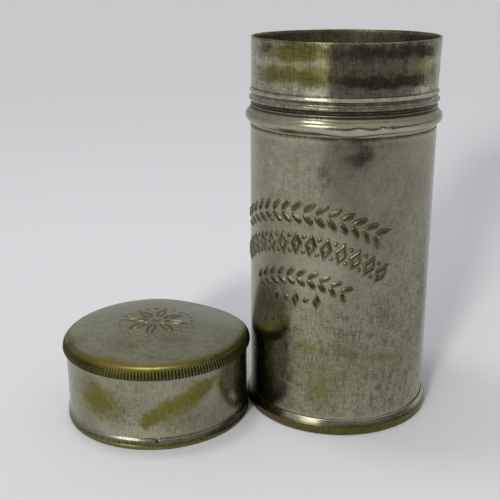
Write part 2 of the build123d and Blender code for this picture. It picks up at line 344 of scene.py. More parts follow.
# ---- tube body ----
# A shape function takes every point's radius, height, azimuth in degrees and outside flag, and gives the new
# radii and heights and the marks.
def body_shape(r, z, a, outside):
    d = np.full(r.shape, WELL_CLEAR)
    zone = (outside > 0.5) & (z > ORNAMENT_Z[0] - 0.9) & (z < ORNAMENT_Z[1] + 1.1)
    d[zone] = distance_to(garland, np.radians(turn_from(a[zone], ORNAMENT_AZIMUTH)) * BODY_R, z[zone])
    lift, stamp, rim = raised(d)
    dent = patches(a, z, (0.26, -86.5, 3.4, ROLL_Z - 0.5, 1.1, 2), (0.2, -78.5, 4.2, ROLL_Z + 0.3, 0.9, 2),
                   (0.16, -64.0, 3.0, ROLL_Z + 0.2, 0.9, 2), (0.1, 40.0, 6.0, ROLL_Z, 1.2, 2),
                   (0.2, -73.0, 1.5, ROLL_Z - 0.2, 0.8, 2), (0.2, -67.5, 1.3, ROLL_Z + 0.2, 0.8, 2),
                   (0.12, 171.0, 5.0, ROLL_Z + 0.3, 1.0, 2))
    hollow = patches(a, z, (0.09, -150, 16, 14, 9, 2), (0.07, 62, 20, 33, 12, 2))
    sag = 0.42 * spot(a, z, -91, 11, ROLL_Z - 1.3, 1.3, 2)
    wave = 0.02 * crease(z, ROLL_Z, 1.6) * np.sin(np.radians(a) * 9)
    r = r + lift * outside - dent - hollow + wobble(a, z, 0.012)
    z = z - sag + wave
    rag_a, rag_z = ragged_edges(a, z)
    worn = patches(rag_a, rag_z, (0.42, -105, 10, 9, 6, 2), (0.26, -116, 7, 18, 6, 2),
                   (0.42, -62, 16, 15.8, 1.3, 2), (0.26, -88, 36, 12, 10, 2), (0.34, -103, 20, 17.7, 0.8, 2),
                   (0.22, -56, 5, 36, 10, 2), (0.4, 60, 45, 14, 8, 2), (0.35, 140, 30, 30, 14, 2),
                   (0.25, 20, 50, 50, 5, 2))
    # painted dark reflection in the first three rows, under the roll bead at the front; painted shade on the
    # right-hand side at -30 degrees and at the roll's far left end; the row at 120 degrees is a stain
    stain_and_painted_reflection = patches(rag_a, rag_z, (0.62, -83, 9, 55.7, 2.0, 3), (0.42, -105, 5, 51.5, 5.0, 3),
                    (0.26, -88, 17, 53.0, 3.4, 3), (0.18, 120, 35, 40, 8, 2), (0.55, -30, 14, 26, 20, 2),
                    (0.35, -172, 14, ROLL_Z, 2.2, 2))
    # painted shade: dark lines in the grooves under and above the roll bead, a fainter line below them, and
    # one at the base's crimp
    painted_crease_shade = creases(z, (1.0, 58.35, 0.3), (1.0, 61.95, 0.33), (0.8, 3.3, 0.3), (0.35, 57.2, 0.16))
    grime = (0.12 + 0.88 * smooth(34, 18, z) * smooth(1.5, 6, z)
             + patches(rag_a, z, (0.5, -58, 26, 36, 16, 2), (0.4, -128, 28, 48, 10, 4)))
    # painted highlights: the lit roll bead, a lighter band under it, the lower body and foot, a bright column
    # left of the front, and patches low on the left that lighten the cap's dark reflection; the same mark
    # makes the metal less rough
    lit_roll = 0.8 * crease(z, ROLL_Z + 0.15, 1.5) * (0.05 + 0.95 * spot(rag_a, z, -88, 40, ROLL_Z, 9))
    polish_and_painted_highlight = (lit_roll + 0.35 * crease(z, 57.8, 0.5) + 0.24 * smooth(16, 7, z) + 0.5 * smooth(4, 2.5, z)
             + patches(rag_a, z, (0.5, -128, 20, 51.5, 8, 2), (0.2, -60, 22, 56, 3, 2),
                       (0.34, -107, 15, 26, 24), (0.65, -137, 14, 20.5, 4, 2), (0.5, -148, 13, 11, 9, 3)))
    # dark: painted shade inside the tube, and darker along the foot of the raised garlands
    return r, z, {"brass": worn + 0.5 * (1 - outside),
                  "dark": 0.8 * rim + painted_crease_shade + stain_and_painted_reflection + 0.35 * (1 - outside),
                  "stamp": stamp * outside, "grime": grime, "polish_and_painted_highlight": polish_and_painted_highlight * outside}


ORNAMENT_STEP, PLAIN_STEP = 0.17, 0.8
inner = BODY_R - SHEET
roll_rows = rolled(BODY_R, ROLL_SECTION, ROLL_COVE, 26, 1)
roll_top = roll_rows[-1][1]
roll_foot = 2 * ROLL_Z - roll_top
outer_rows = line([(FLARE_R, 0.62), (FLARE_R, 1.55), (BODY_R + 0.02, 2.75), (BODY_R, FLARE_TOP_Z)],
                  0.25, 1)[:-1]
outer_rows += line([(BODY_R, FLARE_TOP_Z), (BODY_R, ORNAMENT_Z[0])], PLAIN_STEP, 1)[:-1]
outer_rows += line([(BODY_R, ORNAMENT_Z[0]), (BODY_R, ORNAMENT_Z[1])], ORNAMENT_STEP, 1)[:-1]
outer_rows += line([(BODY_R, ORNAMENT_Z[1]), (BODY_R, roll_foot - 0.1)], PLAIN_STEP, 1)[:-1]
outer_rows += roll_rows
outer_rows += line([(BODY_R, roll_top + 0.1), (BODY_R, COLLAR_Z - 0.1), (BODY_R - 0.1, COLLAR_Z)], 0.15, 1)
inner_rows = line([(inner + 0.1, COLLAR_Z), (inner, COLLAR_Z - 0.1), (inner, roll_top + 0.1)], 0.3, 0)
inner_rows += rolled(inner, ROLL_SECTION - SHEET, ROLL_COVE + SHEET, 10, 0, -1)
inner_rows += line([(inner, roll_foot - 0.1), (inner, 2.7)], 2.5, 0)[:-1]
inner_rows += line([(inner, 2.7), (FLARE_R - SHEET, 1.5), (FLARE_R - SHEET, 0.52)], 0.6, 0)
inner_rows += [(FLARE_R, 0.52, 0)]
body_turns = finer(-176, -66, 0.51, 2.0)
tube_body = turned("tube_body", [(outer_rows + inner_rows, body_turns)], body_shape)


# ---- neck sleeve ----
def neck_shape(r, z, a, outside):
    dent = 0.05 * spot(a, z, -70, 9, 72.5, 4, 2)
    bulge = 0.22 * spot(a, z, -5, 55, tube_h, 6, 2)
    r = r + wobble(a, z, 0.01) - dent + bulge
    z = z + np.where(z > tube_h - 0.3, 0.05 * np.sin(np.radians(a) * 2 + 1) - 0.05, 0)
    edge = smooth(tube_h - 0.5, tube_h - 0.1, z)
    rag_a, rag_z = ragged_edges(a, z, 0.55)
    brass = patches(rag_a, rag_z, (0.85, -121, 23, 73.2, 1.5), (0.80, -121, 21, 68.8, 1.5),
                    (0.40, -120, 20, 71.0, 1.2), (0.5, -44, 9, 70.0, 3.4, 3), (0.6, -149, 11, 68.8, 1.6),
                    (0.7, -30, 6, 69.0, 2.8, 2), (0.45, -150, 9, 73.0, 1.6), (0.55, 20, 30, 73.0, 1.7),
                    (0.55, 100, 40, 69.0, 1.9), (0.5, 165, 18, 73.2, 1.3), (0.3, -75, 30, 69.2, 2.6))
    # the rows from -72 to -38 degrees darken the front right as a painted dark reflection; the rest are
    # tarnish bands
    dark = patches(rag_a, rag_z, (0.90, -71, 33, 73.1, 1.25), (1.1, -69, 29, 68.1, 1.25),
                   (0.34, -118, 36, 68.6, 1.2), (0.32, -124, 32, 73.4, 1.1), (0.55, -148, 6, 73.2, 1.5, 2),
                   (0.55, -38, 12, 72.9, 1.4), (0.15, -72, 28, 71.0, 1.0), (0.3, -164, 5, 70, 4, 2),
                   (0.4, 10, 30, 68.8, 1.7), (0.35, 130, 25, 72.6, 1.5))
    dark = dark * (1 - 0.85 * spot(rag_a, rag_z, -67.3, 3.2, 68.9, 0.9, 2))
    # painted shade in the grooves between the beads and at the collar
    painted_crease_shade = creases(z, (1.0, 62.6, 0.32), (1.0, 64.35, 0.22), (0.9, 65.5, 0.18), (0.8, 62.95, 0.24))
    # painted highlights: bright columns at -106 and -41 degrees, silver bands between the dark ones and on
    # the stop bead; the same mark makes the metal less rough
    polish_and_painted_highlight = (0.6 * crease(z, 64.95, 0.35) * outside + 0.3 * crease(z, 71.0, 0.8)
             + patches(rag_a, z, (1.0, -68, 32, 70.6, 1.0, 2), (1.1, -78, 42, 65.9, 1.0),
                       (0.25, -125, 26, 70, 6), (0.5, -72, 24, 74.6, 0.4), (0.95, -106, 4.5, 70.5, 6, 3),
                       (0.6, -41, 4, 70, 5, 3)))
    # painted shade inside the sleeve; the rim's edge is worn to brass and darker
    return r, z, {"brass": brass * outside + 0.5 * edge + 0.25 * (1 - outside),
                  "dark": dark * outside + painted_crease_shade + 0.3 * (1 - outside) + 0.3 * edge,
                  "grime": (0.1 + 0.9 * outside) * (1 - 0.55 * np.clip(polish_and_painted_highlight, 0, 1)), "polish_and_painted_highlight": polish_and_painted_highlight}


neck_in = NECK_R - SHEET
step_z = COLLAR_Z + 0.02
neck_rows = line([(STEP_R, sleeve_foot), (STEP_R, step_z), (NECK_R, step_z)], 0.9, 1)
neck_rows += bead(NECK_R, LOWER_BEAD, 0.55, 0.06, 1)[1:]
neck_rows += bead(NECK_R, STOP_BEAD, 0.38, 0.055, 1)[1:]
neck_rows += line([(NECK_R, 65.6), (NECK_R, tube_h - 0.1), (NECK_R - 0.03, tube_h - 0.03),
                   (NECK_R - 0.1, tube_h), (neck_in + 0.1, tube_h), (neck_in + 0.03, tube_h - 0.03)], 0.35, 1)
neck_rows += line([(neck_in, tube_h - 0.1), (neck_in, 65.5)], 0.6, 0)
neck_rows += bead(neck_in, STOP_BEAD, 0.26, 0.08, 0, -1)
neck_rows += bead(neck_in, LOWER_BEAD, 0.4, 0.1, 0, -1)[1:]
neck_rows += line([(neck_in, 62.8), (STEP_R - SHEET, 62.5), (STEP_R - SHEET, sleeve_foot)], 1.2, 0)
neck = turned("neck", [(neck_rows, even(420))], neck_shape)


# ---- base: crimped brass rim and floor ----
def base_shape(r, z, a, outside):
    z = z + np.where(r > BODY_R, 0.05 * np.sin(np.radians(a) * 3 + 2) * smooth(2.0, 3.1, z), 0)
    r = r - patches(a, z, (0.05, -100, 5, 1.2, 1.2, 2), (0.06, -60, 7, 0.6, 1, 2)) * outside
    # painted shade at the crimp's top edge, along the bottom edge and inside; painted highlight on the
    # crimp's slope
    return r, z, {"brass": 0.78 * smooth(2.75, 1.6, z) * outside + 0.5 * (1 - outside),
                  "dark": 0.9 * smooth(3.02, 3.1, z) + 0.5 * smooth(0.4, 0.0, z) + 0.5 * (1 - outside),
                  "polish_and_painted_highlight": 0.5 * smooth(1.9, 2.6, z) * outside}


RIM_ROUND = 0.45
rim_rows = arc((FOOT_R - RIM_ROUND, RIM_ROUND), RIM_ROUND, -90, 0, 6, 1)
base_rows = [(0.0, 0.0, 1)] + line([(0.6, 0), (15.9, 0)], 1.2, 1)
base_rows += [(16.2, 0.02, 1), (16.35, 0.13, 1), (16.5, 0.18, 1), (16.65, 0.13, 1), (16.8, 0.02, 1)]
base_rows += line([(17.2, 0), (FOOT_R - 0.5, 0)], 0.4, 1) + rim_rows[1:]
base_rows += line([(FOOT_R, 0.6), (FOOT_R, 1.6), (FOOT_R - 0.02, 1.75), (FOOT_R - 0.09, 1.87),
                   (BODY_R + 0.2, 2.98), (BODY_R + 0.12, 3.08), (BODY_R + 0.04, 3.1)], 0.14, 1)
base_rows += line([(BODY_R + 0.02, 2.77), (FLARE_R + 0.02, 1.57), (FLARE_R + 0.02, FLOOR_TOP_Z)], 0.5, 0)
base_rows += line([(FLARE_R - 0.2, FLOOR_TOP_Z), (0.8, FLOOR_TOP_Z)], 1.6, 0) + [(0.0, FLOOR_TOP_Z, 0)]
base = turned("base", [(base_rows, even(360))], base_shape, closed=False)


# ---- cap skirt: step, groove and rolled lip ----
def skirt_shape(r, z, a, outside):
    nick = spot(a, z, -84.5, 1.1, 1.95, 0.3, 2)
    dent = patches(a, z, (0.1, -52, 12, 6, 5, 2), (0.06, -120, 16, 9, 5, 2), (0.08, 70, 14, 8, 5, 2))
    r = r - 0.22 * nick * outside - dent + wobble(a, z, 0.012)
    rag_a, rag_z = ragged_edges(a, z, 0.6)
    # one worn patch climbs slantwise to the right, and is broader at its upper end
    slant_half = 1.5 + 1.5 * spot(rag_a, rag_z, -66, 13, 9, 9, 2)
    slant = crease(rag_z - 0.128 * turn_from(rag_a, -88.0), 6.9, slant_half)
    slant = slant * smooth(-95.5, -90, rag_a) * smooth(-43, -50, rag_a)
    brass = 0.95 * slant + patches(
        rag_a, rag_z, (0.92, -124, 13, 9.2, 4.4, 2), (0.72, -90.5, 3.2, 5.6, 1.9, 2),
        (0.78, -41, 3.2, 10.4, 3.0, 2), (0.7, -27, 2.2, 9.6, 0.9, 2), (0.34, -106, 14, 8.5, 3.4, 2),
        (0.3, -70, 14, 4.6, 1.7, 2), (0.5, 60, 26, 9, 3, 2), (0.45, 150, 30, 6, 3, 2))
    brass = brass * smooth(2.2, 2.8, z) + 0.74 * smooth(1.35, 1.05, z)
    # painted shade: the lip's band and underside, under the crown's overhang, and on the right-hand side that
    # faces the tube; the nick is darker too
    dark = (0.62 * smooth(1.92, 1.78, z) * smooth(0.8, 0.98, z) + 0.8 * smooth(0.30, 0.12, z)
            + 0.9 * crease(z, 14.6, 0.35) + nick
            + patches(rag_a, z, (0.2, -20, 40, 12, 3, 2), (0.75, -8, 14, 3.4, 4.8),
                      (0.1, -44, 5, 12, 2.5, 2), (0.6, -28, 20, 1.6, 1.6)))
    grime = 0.35 + patches(rag_a, z, (0.6, -104, 14, 8, 4, 2), (0.5, -70, 18, 5, 2.4, 2))
    # painted highlights on the lip's front and the skirt's front and step; the same mark makes the metal less
    # rough
    lit_lip = 0.5 * smooth(1.0, 0.9, z) * spot(rag_a, z, -90, 26, 0.5, 2, 2)
    polish_and_painted_highlight = lit_lip + patches(rag_a, z, (0.32, -95, 34, 8, 7), (0.5, -98, 24, 3.2, 1.6, 2))
    return r, z, {"brass": brass * outside + 0.6 * (1 - outside),
                  "dark": dark * outside + 0.6 * (1 - outside), "grime": grime, "polish_and_painted_highlight": polish_and_painted_highlight}


skirt_in = SKIRT_R - CAP_SHEET
band_r = LIP_R - 0.08
flange_z = CROWN_Z + CAP_SHEET + 0.03
skirt_rows = line([(LIP_R - 0.22, 0), (LIP_R - 0.1, 0.08), (LIP_R - 0.02, 0.27), (LIP_R, 0.5),
                   (LIP_R - 0.03, 0.7), (LIP_R - 0.12, 0.9), (band_r - 0.15, 1.0), (band_r - 0.06, 1.06),
                   (band_r - 0.01, 1.15), (band_r, 1.3), (band_r, 1.8), (band_r - 0.03, 1.93),
                   (band_r - 0.1, 2.02), (SKIRT_R + 0.05, 2.34), (SKIRT_R, 2.5)], 0.14, 1)
skirt_rows += line([(SKIRT_R, 2.9), (SKIRT_R, 14.1)], 0.45, 1)
skirt_rows += line([(SKIRT_R, 14.4), (SKIRT_R, flange_z), (FLANGE_R, flange_z)], 0.3, 1)
skirt_rows += line([(FLANGE_R, flange_z + CAP_SHEET), (skirt_in, flange_z + CAP_SHEET)], 0.5, 0)
skirt_rows += line([(skirt_in, flange_z), (skirt_in, 0.1), (skirt_in + 0.1, 0)], 0.9, 0)
skirt = turned("skirt", [(skirt_rows, even(540))], skirt_shape, cap_centre)

# ---- cap crown: dome, worn rounded edge and milled ribs ----
round_x = CROWN_R - CROWN_ROUND
top_gap = cap_h - CROWN_ROUND
dome_z = (top_gap**2 - CROWN_ROUND_Z**2 - round_x**2) / (2 * (top_gap - CROWN_ROUND_Z))
dome_r = cap_h - dome_z
dome_lean = math.degrees(math.asin(round_x / (dome_r - CROWN_ROUND)))
rib_top = math.degrees(math.asin((RIB_HIGH_Z - CROWN_ROUND_Z) / CROWN_ROUND))


def crown_shape(r, z, a, outside):
    t = np.radians(a)
    x, y = r * np.cos(t), r * np.sin(t)
    d = np.full(r.shape, WELL_CLEAR)
    zone = (outside > 0.5) & (r < ROSETTE_R + 0.6)
    d[zone] = distance_to(rosette, x[zone], y[zone])
    depth, stamp, rim = stamped(d)
    ribbed = smooth(RIB_HIGH_Z + 0.25, RIB_HIGH_Z - 0.35, z) * smooth(CROWN_Z - 0.02, CROWN_Z + 0.12, z)
    ribbed = ribbed * (r > CROWN_R - 1.2) * outside
    valley = (0.5 - 0.5 * np.cos(t * RIBS)) ** 0.5
    # painted highlight: the rib crests on the right-hand side get a bright nickel colour and less brass
    painted_rib_highlight = spot(a, z, -45, 38, 15.6, 3, 2) * ribbed * (1 - valley)
    worn_ribs = 1.0 - patches(a, z, (0.8, -132, 34, 15.5, 3, 2), (0.3, 30, 30, 15.5, 3, 2))
    z = z - depth * outside
    low_side = smooth(102, 56, a) * smooth(-10, 46, a) * smooth(2, 17, r)
    z = z - 0.82 * low_side * smooth(CROWN_Z, CROWN_Z + 2.5, z)
    z = z - patches(a, r, (0.12, -150, 9, 14, 3, 2), (0.1, -40, 12, 11, 3, 2)) + wobble(a, z, 0.006)
    r = r - ribbed * RIB_DEPTH * valley * worn_ribs + wobble(a, z, 0.008) * (r > 16)
    front = 0.5 + 0.5 * np.cos(np.radians(turn_from(a, -80)))
    rubbed = smooth(17.5 - 1.6 * front, 18.9 - 1.3 * front, r) * outside
    brass = rubbed * (0.95 - 0.12 * spot(a, z, 60, 60, 16, 4, 2)) + patches(
        a, r, (0.5, -108, 6, 11.8, 0.9, 2), (0.5, -116, 16, 16.4, 1.5, 2), (0.35, -60, 8, 13, 2, 2),
        (0.3, 100, 30, 12, 4, 2))
    # darker in the rib valleys and round the rosette's edges; dark blotches on the left of the rim are
    # tarnish; painted shade on the rim's right-hand side and back, under the crown and along its lower edge
    dark = (0.9 * ribbed * valley * worn_ribs + 0.32 * ribbed + 0.6 * rim
            + patches(a, r, (0.55, -132, 20, 18.2, 1.4, 2), (0.55, -158, 12, 17.2, 1.8, 2))
            + 0.3 * rubbed * smooth(-60, -20, a) * smooth(120, 60, a)
            + 0.7 * (1 - outside) + 0.7 * crease(z, CROWN_Z, 0.12))
    # painted highlights on the dome's left and the rim's front
    polish_and_painted_highlight = patches(a, r, (0.24, -172, 48, 13, 8, 2), (0.22, -110, 45, 18.2, 1.4)) * outside
    return r, z, {"brass": brass * (1 - 0.75 * painted_rib_highlight) + 0.5 * (1 - outside), "dark": dark,
                  "stamp": 0.65 * stamp * outside, "grime": 0.35, "polish_and_painted_highlight": painted_rib_highlight + polish_and_painted_highlight}


dome_rows = [(0.0, cap_h, 1)]
for radius in [*np.arange(0.16, ROSETTE_R, 0.16), *np.arange(ROSETTE_R + 0.2, 16.4, 0.55)]:
    dome_rows.append((radius, dome_z + math.sqrt(dome_r**2 - radius**2), 1))
edge_rows = arc((round_x, CROWN_ROUND_Z), CROWN_ROUND, 90 - dome_lean, rib_top + 4, 10, 1)
rib_rows = arc((round_x, CROWN_ROUND_Z), CROWN_ROUND, rib_top, 8, 9, 1)
rib_rows += line([(CROWN_R, CROWN_ROUND_Z + 0.1), (CROWN_R, CROWN_Z + 0.12), (CROWN_R - 0.06, CROWN_Z + 0.02),
                  (CROWN_R - 0.2, CROWN_Z)], 0.14, 1)
under_rows = line([(CROWN_R - 0.35, CROWN_Z), (SKIRT_R + 0.02, CROWN_Z),
                   (SKIRT_R + 0.02, CROWN_Z + CAP_SHEET)], 0.3, 0)
under_rows += arc((round_x, CROWN_ROUND_Z), CROWN_ROUND - CAP_SHEET, 6, 90 - dome_lean, 7, 0)
for radius in np.arange(16.0, 0.5, -1.1):
    under_rows.append((radius, dome_z + math.sqrt((dome_r - CAP_SHEET) ** 2 - radius**2), 0))
under_rows.append((0.0, cap_h - CAP_SHEET, 0))
dome_turns, rib_turns = even(2 * RIBS), even(8 * RIBS)
crown_parts = [(dome_rows + edge_rows, dome_turns), (rib_rows, rib_turns), (under_rows, dome_turns)]
crown = turned("crown", crown_parts, crown_shape, cap_centre, closed=False)


# ---- soap stick and its foil ----
def stick_shape(r, z, a, outside):
    """A used stick: a little thinner and lower on one side at its top."""
    t = np.radians(a)
    worn = 0.25 * np.sin(t * 2 + 0.6) + 0.16 * np.sin(t * 3 - 1.2) + 0.07 * np.sin(t * 7 + z)
    r = r * (1 - 0.006 * smooth(40, 58, z) * (1 + worn)) + 0.03 * np.sin(5 * t + 0.9 * z) - 0.03
    z = z - 0.35 * smooth(58, 62.5, z) * (0.5 + worn) * smooth(0, 12, r)
    return r, z, {"dark": 0.5 * smooth(58.0, 60.5, z) * (0.4 + 0.6 * np.sin(3 * t) ** 2)}


stick_foot, stick_top = stick_low.z * MM, stick_high.z * MM
stick_rows = [(0.0, stick_foot, 1)] + line([(1.5, stick_foot), (STICK_R - 0.4, stick_foot),
                                           (STICK_R, stick_foot + 0.4), (STICK_R, STICK_SHOULDER_Z)], 1.0, 1)
for t in np.linspace(0.06, 1, 16):
    lean = t * math.pi / 2
    stick_rows.append((STICK_R * (1 - 0.16 * (1 - math.cos(lean))) - 2.6 * t * t - 7.2 * t**5,
                       STICK_SHOULDER_Z + (stick_top - STICK_SHOULDER_Z - 0.2) * math.sin(lean) ** 0.9, 1))
stick_rows += [(2.2, stick_top - 0.1, 1), (0.0, stick_top - 0.05, 1)]
stick = turned("soap_stick", [(stick_rows, even(180))], stick_shape, closed=False)

FOLDS = 9
fold_phases = np.random.default_rng(7).uniform(0, 2 * math.pi, (FOLDS, 3))


def foil_shape(r, z, a, outside):
    """Crumpled foil: sharp folds of several sizes, and a torn upper edge."""
    t = np.radians(a)
    folds = sum(np.abs(np.sin(t * (5 + 3 * i) + z * (0.25 + 0.1 * i) * (-1) ** i + f[0]
                              + np.sin(z * 0.3 + f[1]))) for i, f in enumerate(fold_phases)) / FOLDS
    r = r + 0.16 * smooth(14.5, 15.8, r) * (folds - 0.25)
    torn = 1.6 * np.sin(t * 2 + 0.3) + 0.8 * np.sin(t * 5 + 1) + 0.35 * np.abs(np.sin(t * 11))
    z = z + smooth(34, FOIL_TOP_Z, z) * (torn - 2.4) * 0.5
    return r, z, {"dark": 0.6 * smooth(0.5, 0.25, folds)}


foil_in = STICK_R + FOIL_GAP
foil_out = foil_in + FOIL_SHEET
foil_rows = [(0.0, FOIL_FLOOR_Z, 1)] + line([(1.5, FOIL_FLOOR_Z), (foil_in - 0.4, FOIL_FLOOR_Z),
                                            (foil_out, 1.0), (foil_out, FOIL_TOP_Z)], 0.55, 1)
foil_rows += line([(foil_in, FOIL_TOP_Z), (foil_in, 1.12), (foil_in - 0.41, 0.69), (1.5, 0.69)], 0.55, 0)
foil_rows += [(0.0, 0.69, 0)]
foil = turned("foil", [(foil_rows, even(300))], foil_shape, closed=False)


# ---- finishes ----
class Paint:
    """A material with short names for the nodes it needs. Its coordinates are the piece's own."""

    def __init__(self, name, metallic=0.0):
        self.material = bpy.data.materials.new(name)
        self.material.use_nodes = True
        self.tree = self.material.node_tree
        self.shader = self.tree.nodes["Principled BSDF"]
        self.shader.inputs["Metallic"].default_value = metallic
        self.where = self.tree.nodes.new("ShaderNodeTexCoord").outputs["Object"]

    def feed(self, socket, value):
        if isinstance(value, bpy.types.NodeSocket):
            self.tree.links.new(value, socket)
        else:
            socket.default_value = value

    def set(self, key, value):
        """Link or set one of the shader's own inputs."""
        self.feed(self.shader.inputs[key], value)

    def math(self, operation, a, b=0.0):
        node = self.tree.nodes.new("ShaderNodeMath")
        node.operation = operation
        self.feed(node.inputs[0], a)
        self.feed(node.inputs[1], b)
        return node.outputs[0]

    def plus(self, a, b):
        return self.math("ADD", a, b)

    def times(self, a, b):
        return self.math("MULTIPLY", a, b)

    def weighed(self, a, share_a, b, share_b):
        return self.plus(self.times(a, share_a), self.times(b, share_b))

    def either_way(self, noise, size):
        """Noise from 0 to 1 turned into a push of up to half of size, up or down."""
        return self.times(self.math("SUBTRACT", noise, 0.5), size)

    def noise(self, stretch, detail=3.0, rough=0.55, warp=0.0):
        """Noise from 0 to 1, with stretch features to a mm along each axis."""
        mapping = self.tree.nodes.new("ShaderNodeMapping")
        mapping.inputs["Scale"].default_value = [s * MM for s in stretch]
        self.feed(mapping.inputs["Vector"], self.where)
        node = self.tree.nodes.new("ShaderNodeTexNoise")
        self.feed(node.inputs["Vector"], mapping.outputs[0])
        node.inputs["Scale"].default_value = 1.0
        node.inputs["Detail"].default_value = detail
        node.inputs["Roughness"].default_value = rough
        node.inputs["Distortion"].default_value = warp
        return node.outputs["Fac"]

    def mark(self, name):
        """One of the marks that turned() left on the mesh."""
        node = self.tree.nodes.new("ShaderNodeAttribute")
        node.attribute_name = name
        return node.outputs["Fac"]

    def step(self, value, low, high, to_low=0.0, to_high=1.0):
        """A soft step from to_low at low to to_high at high."""
        node = self.tree.nodes.new("ShaderNodeMapRange")
        node.interpolation_type = "SMOOTHSTEP"
        for key, number in (("Value", value), ("From Min", low), ("From Max", high),
                            ("To Min", to_low), ("To Max", to_high)):
            self.feed(node.inputs[key], number)
        return node.outputs["Result"]

    def mix(self, share, a, b):
        """a where share is 0 and b where it is 1. Each is a colour or a socket."""
        node = self.tree.nodes.new("ShaderNodeMix")
        node.data_type = "RGBA"
        self.feed(node.inputs["Factor"], share)
        for socket, value in ((node.inputs[6], a), (node.inputs[7], b)):
            self.feed(socket, (*value, 1.0) if isinstance(value, tuple) else value)
        return node.outputs[2]

    def bump(self, height, depth):
        """Fine relief, depth in mm."""
        node = self.tree.nodes.new("ShaderNodeBump")
        node.inputs["Distance"].default_value = depth / MM
        self.feed(node.inputs["Height"], height)
        self.set("Normal", node.outputs[0])


def shade(colour, share):
    return tuple(share * c for c in colour)


PIT_COLOUR = (0.0, 0.0, 0.0)
HATCH_COLOUR = (0.03, 0.028, 0.017)
DIRT_AND_PAINTED_SHADE_COLOUR = (0.021, 0.017, 0.009)
# how much brighter a painted highlight makes the metal's colour
PAINTED_HIGHLIGHT_GAIN = 1.6


def plating(name, nickel, tarnish, brass, rough, scratch, wear, hatched=0.42, hatch_scale=1.0):
    """Worn nickel over brass, with painted highlights and shade. The marks say where the brass shows, and
    scratch and wear break its edges up.
    hatched is how dark the fine crosshatch of rubbing is where the grime is full, and a hatch_scale below 1
    makes it coarser."""
    p = Paint(name, metallic=1.0)
    cloud = p.noise((0.16, 0.16, 0.12), 4)
    fleck = p.noise((0.75, 0.75, 0.6), 4, 0.65)
    tall = p.noise((3.2, 3.2, 0.36), 4, 0.62, 0.25)
    level = p.noise((0.36, 0.36, 3.8), 4, 0.62, 0.2)
    grain = p.noise((4.5, 4.5, 3.2), 3, 0.65)
    upright = p.step(p.noise(shade((6.0, 6.0, 0.8), hatch_scale), 3, 0.6), 0.48, 0.62)
    across = p.step(p.noise(shade((0.8, 0.8, 6.4), hatch_scale), 3, 0.6), 0.50, 0.62)
    brass_here, dark, stamp, grime, polish_and_painted_highlight = [p.mark(mark) for mark in MARKS]
    weave = p.weighed(tall, 0.58, level, 0.42)

    # nickel, duller in clouds, brightened as a painted highlight where the highlight mark is, and mottled
    # where it is grimy
    skin = p.mix(p.step(p.weighed(cloud, 0.75, weave, 0.25), 0.36, 0.62), tarnish, nickel)
    skin = p.mix(polish_and_painted_highlight, skin, shade(nickel, PAINTED_HIGHLIGHT_GAIN))
    mottle = p.step(p.weighed(weave, 0.5, fleck, 0.5), 0.53, 0.42)
    mottled = tuple(0.36 * c + 0.34 * b for c, b in zip(tarnish, brass))
    skin = p.mix(p.times(mottle, p.times(grime, 0.72)), skin, mottled)

    # brass where the nickel has gone, with ragged edges
    ragged = p.plus(p.either_way(weave, scratch), p.either_way(fleck, wear))
    bare = p.step(p.plus(brass_here, ragged), 0.15, 0.85)
    yellow = p.mix(p.step(p.weighed(fleck, 0.6, tall, 0.4), 0.35, 0.65), shade(brass, 0.62), brass)
    # painted highlight: the brass brightened where the highlight mark is
    yellow = p.mix(polish_and_painted_highlight, yellow, shade(brass, PAINTED_HIGHLIGHT_GAIN))
    colour = p.mix(bare, skin, yellow)
    colour = p.mix(p.times(stamp, p.step(fleck, 0.3, 0.6, 0.75, 1.0)), colour, shade(brass, 0.5))

    # pits, crosshatch, and the dark mark, which is dirt and tarnish together with painted shade and painted
    # dark reflections
    speck = p.step(p.weighed(grain, 0.7, weave, 0.3), 0.46, 0.30)
    colour = p.mix(p.times(speck, p.step(grime, 0.0, 1.0, 0.14, 0.42)), colour, PIT_COLOUR)
    hatch = p.times(p.math("MAXIMUM", upright, across), p.step(grime, 0.0, 1.0, 0.4 * hatched, hatched))
    colour = p.mix(hatch, colour, HATCH_COLOUR)
    dirt_and_painted_shade = p.step(p.plus(dark, p.either_way(weave, 0.2 + scratch)), 0.15, 1.0)
    colour = p.mix(p.times(dirt_and_painted_shade, 0.86), colour, DIRT_AND_PAINTED_SHADE_COLOUR)
    p.set("Base Color", colour)

    dull = p.math("SUBTRACT", p.weighed(bare, 0.05, dirt_and_painted_shade, 0.22), p.times(polish_and_painted_highlight, 0.08))
    dull = p.plus(dull, p.step(weave, 0.3, 0.7, rough - 0.07, rough + 0.05))
    p.set("Roughness", p.plus(dull, p.either_way(cloud, 0.15)))
    p.bump(p.plus(p.weighed(weave, 0.35, fleck, 0.9), p.times(grain, 0.12)), 0.012)
    return p.material


def soap():
    """Pale soap with fine upright cracks, browner at its worn top."""
    p = Paint("soap_cake")
    brown = (0.50, 0.40, 0.25)
    cloud = p.noise((0.12, 0.12, 0.09), 4)
    grain = p.noise((1.6, 1.6, 1.6), 4, 0.6)
    cracks = p.noise((0.5, 0.5, 0.07), 5, 0.7, 0.6)
    crack_here = p.step(p.math("ABSOLUTE", p.math("SUBTRACT", cracks, 0.5)), 0.0, 0.012, 0.32, 0.0)
    colour = p.mix(p.step(cloud, 0.3, 0.7), (0.72, 0.62, 0.43), (0.80, 0.74, 0.58))
    colour = p.mix(crack_here, colour, brown)
    colour = p.mix(p.times(p.mark("dark"), 0.5), colour, brown)
    p.set("Base Color", colour)
    p.set("Roughness", p.step(grain, 0.3, 0.7, 0.45, 0.62))
    p.set("Subsurface Weight", 0.15)
    p.set("Subsurface Scale", 1.0 / MM)
    p.bump(p.math("SUBTRACT", grain, crack_here), 0.05)
    return p.material


